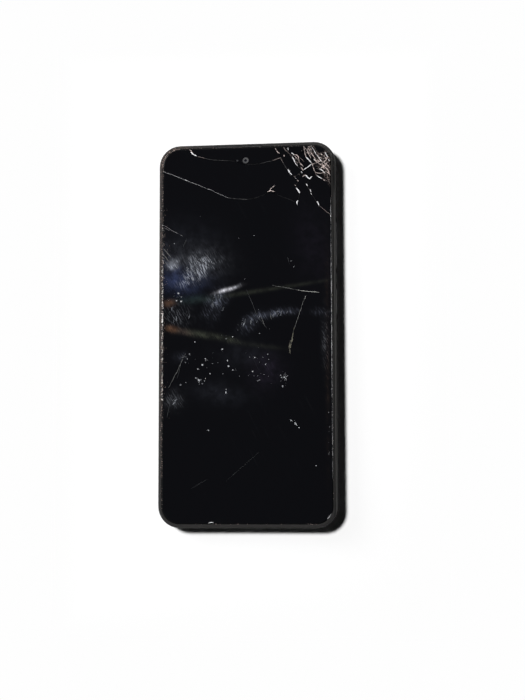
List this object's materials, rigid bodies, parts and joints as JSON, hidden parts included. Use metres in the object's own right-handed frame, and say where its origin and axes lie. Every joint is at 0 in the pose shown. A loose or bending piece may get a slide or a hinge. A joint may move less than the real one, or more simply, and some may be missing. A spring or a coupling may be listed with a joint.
{
  "type": "smartphone with shattered screen",
  "caption": "Black smartphone lying face up, its cover glass shattered at one corner and cracked across the top, with side keys, card tray, sockets and inner parts.",
  "frame": {"origin": "under the middle of the phone, in the plane of its flat back", "axes": "+Z out of the screen, +Y towards the earpiece end, +X to the right as seen from the front"},
  "size_m": [0.0768, 0.1652, 0.0095],
  "materials": {
    "cover_glass": "scuffed and cracked clear glass over a black display",
    "frame_plastic": "worn satin black",
    "cover_plastic": "scuffed black",
    "key_plastic": "satin black",
    "display_black": "black",
    "foam": "black adhesive foam",
    "mesh_grey": "fine grey mesh",
    "steel": "stamped steel",
    "dark_steel": "dark steel",
    "board_green": "green solder mask",
    "cable_amber": "amber film",
    "lens_black": "black lens and housing",
    "lamp_yellow": "yellow phosphor",
    "foil_grey": "dark foil pouch",
    "socket_plastic": "black moulding"
  },
  "bodies": {
    "phone": {"glass_main": "cover_glass", "glass_upper_left": "cover_glass", "glass_top_strip": "cover_glass", "glass_shard_01": "cover_glass", "glass_shard_02": "cover_glass", "glass_shard_03": "cover_glass", "glass_shard_04": "cover_glass", "glass_shard_05": "cover_glass", "glass_shard_06": "cover_glass", "glass_shard_07": "cover_glass", "glass_shard_08": "cover_glass", "glass_shard_09": "cover_glass", "glass_shard_10": "cover_glass", "glass_shard_11": "cover_glass", "glass_shard_12": "cover_glass", "glass_shard_13": "cover_glass", "glass_shard_14": "cover_glass", "mid_frame": "frame_plastic", "back_cover": "cover_plastic", "display_panel": "display_black", "screen_gasket": "foam", "earpiece_mesh": "mesh_grey", "speaker_mesh": "mesh_grey", "shield_rear": "steel", "shield_front": "steel", "usb_port": "steel", "vibration_motor": "steel", "sim_reader": "steel", "screw_01": "steel", "screw_02": "steel", "screw_03": "steel", "screw_04": "steel", "screw_05": "steel", "screw_06": "steel", "screw_07": "steel", "screw_08": "steel", "earpiece_speaker": "dark_steel", "main_board": "board_green", "sub_board": "board_green", "main_flex": "cable_amber", "side_key_flex": "cable_amber", "front_camera": "lens_black", "light_sensor": "lens_black", "camera_main": "lens_black", "camera_wide": "lens_black", "camera_depth": "lens_black", "camera_window": "lens_black", "flash_lamp": "lamp_yellow", "battery": "foil_grey", "headphone_jack": "socket_plastic", "loudspeaker": "socket_plastic"},
    "volume_rocker_body": {"volume_rocker": "key_plastic"},
    "power_button_body": {"power_button": "key_plastic"},
    "sim_tray_body": {"sim_tray": "key_plastic"}
  },
  "joints": [
    {"name": "volume_rocker_tilt", "type": "hinge", "parent": "phone", "child": "volume_rocker_body", "pos_m": [0.03545, 0.038, 0.0049], "axis": [0, 0, 1], "range_deg": [-1.2, 1.2], "stiffness_Nm_per_rad": 0.12},
    {"name": "power_button_press", "type": "slide", "parent": "phone", "child": "power_button_body", "axis": [-1, 0, 0], "range_m": [0, 0.0003], "stiffness_N_per_m": 1500, "springref_m": -0.0004},
    {"name": "sim_tray_slide", "type": "slide", "parent": "phone", "child": "sim_tray_body", "axis": [-1, 0, 0], "range_m": [0, 0.014]}
  ]
}
